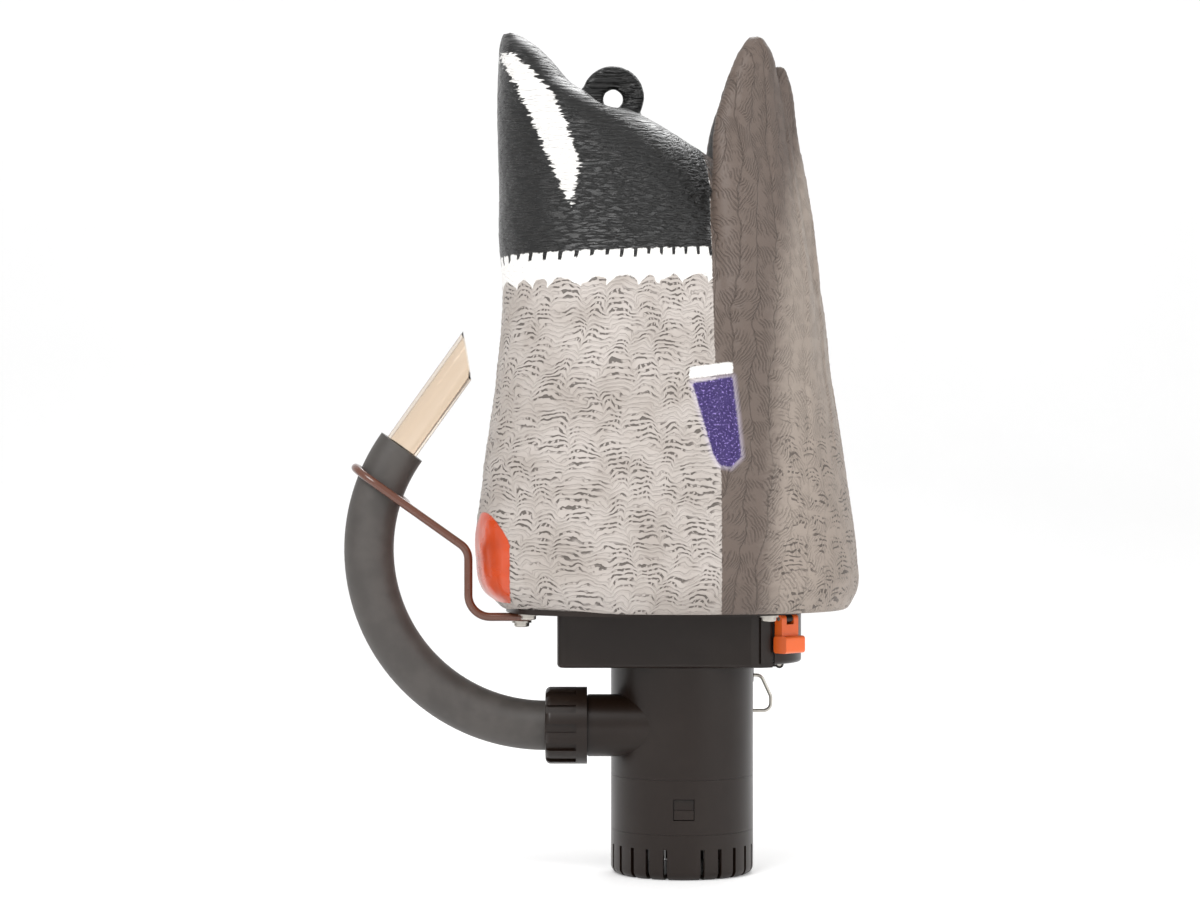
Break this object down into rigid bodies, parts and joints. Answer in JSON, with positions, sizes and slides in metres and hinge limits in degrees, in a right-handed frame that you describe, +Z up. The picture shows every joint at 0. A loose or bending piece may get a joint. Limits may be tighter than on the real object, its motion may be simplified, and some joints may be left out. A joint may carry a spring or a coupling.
{
  "type": "floating duck decoy",
  "caption": "Feeding-duck water decoy that floats tail up over a battery box and bilge pump, with a curved hose and nozzle that squirt water.",
  "frame": {"origin": "centre of the face that the pump's strainer stands on", "axes": "+Z up towards the tail, +X towards the duck's back and the battery door, +Y towards its left side"},
  "size_m": [0.2605, 0.1652, 0.4266],
  "materials": {
    "skin": "satin",
    "dark_plastic": "gloss",
    "orange_plastic": "gloss",
    "bright_steel": "satin",
    "coated_wire": "gloss",
    "hose_rubber": "matte",
    "clear_tube": "clear",
    "seal_rubber": "matte",
    "bronze": "satin",
    "copper": "satin",
    "laminated_iron": "matte",
    "magnet_ferrite": "matte",
    "carbon": "matte",
    "board": "satin",
    "cell_metal": "satin",
    "wrap": "satin",
    "white_plastic": "satin"
  },
  "bodies": {
    "decoy": {"base_gasket": "seal_rubber", "base_plate": "dark_plastic", "base_screw_1": "bright_steel", "base_screw_2": "bright_steel", "base_screw_3": "bright_steel", "base_screw_4": "bright_steel", "base_washer_1": "bright_steel", "base_washer_2": "bright_steel", "base_washer_3": "bright_steel", "base_washer_4": "bright_steel", "battery_box": "dark_plastic", "battery_cell_1": "cell_metal", "battery_cell_2": "cell_metal", "battery_cell_3": "cell_metal", "battery_lead": "seal_rubber", "battery_sleeve": "wrap", "box_lid": "dark_plastic", "bracket_screw": "bright_steel", "bracket_washer": "bright_steel", "brush_left": "carbon", "brush_right": "carbon", "bush_lower": "bronze", "bush_upper": "bronze", "cable_gland": "seal_rubber", "can_end_cap": "bright_steel", "control_board": "board", "door_gasket": "seal_rubber", "door_hinge_pin": "bright_steel", "duck_skin": "skin", "hose": "hose_rubber", "hose_bracket": "coated_wire", "hose_gland": "seal_rubber", "housing_o_ring": "seal_rubber", "magnet_left": "magnet_ferrite", "magnet_right": "magnet_ferrite", "motor_can": "bright_steel", "motor_lead": "seal_rubber", "nozzle": "clear_tube", "pump_housing": "dark_plastic", "pump_screw_1": "bright_steel", "pump_screw_2": "bright_steel", "pump_screw_3": "bright_steel", "pump_skirt": "dark_plastic", "shaft_seal": "seal_rubber", "strainer": "dark_plastic"},
    "door": {"battery_door": "dark_plastic", "latch_pin_left": "bright_steel", "latch_pin_right": "bright_steel"},
    "right_latch": {"latch_right": "orange_plastic"},
    "left_latch": {"latch_left": "orange_plastic"},
    "rotor": {"armature": "laminated_iron", "commutator": "copper", "motor_shaft": "bright_steel", "impeller": "white_plastic"},
    "right_button": {"lock_button_right": "dark_plastic"},
    "left_button": {"lock_button_left": "dark_plastic"},
    "nut": {"outlet_nut": "dark_plastic"},
    "ring": {"anchor_ring": "bright_steel"}
  },
  "joints": [
    {"name": "door_hinge", "type": "hinge", "parent": "decoy", "child": "door", "pos_m": [0.049, 0, 0.1066], "axis": [0, 1, 0], "range_deg": [0, 95]},
    {"name": "right_latch_pivot", "type": "hinge", "parent": "door", "child": "right_latch", "pos_m": [0.05157, -0.02952, 0.1305], "axis": [-0.6947, -0.7193, 0], "range_deg": [0, 60]},
    {"name": "left_latch_pivot", "type": "hinge", "parent": "door", "child": "left_latch", "pos_m": [0.05157, 0.02952, 0.1305], "axis": [0.6947, -0.7193, 0], "range_deg": [0, 60]},
    {"name": "rotor_spin", "type": "hinge", "parent": "decoy", "child": "rotor", "pos_m": [0, 0, 0.07], "axis": [0, 0, 1], "continuous": true},
    {"name": "right_button_press", "type": "slide", "parent": "decoy", "child": "right_button", "axis": [0, 1, 0], "range_m": [0, 0.002], "stiffness_N_per_m": 60},
    {"name": "left_button_press", "type": "slide", "parent": "decoy", "child": "left_button", "axis": [0, -1, 0], "range_m": [0, 0.002], "stiffness_N_per_m": 60},
    {"name": "nut_turn", "type": "hinge", "parent": "decoy", "child": "nut", "pos_m": [-0.058, -0.0163, 0.076], "axis": [-1, 0, 0], "continuous": true},
    {"name": "ring_swing", "type": "hinge", "parent": "decoy", "child": "ring", "pos_m": [0.0367, 0.03, 0.098], "axis": [1, 0, 0], "range_deg": [-5, 75]}
  ]
}
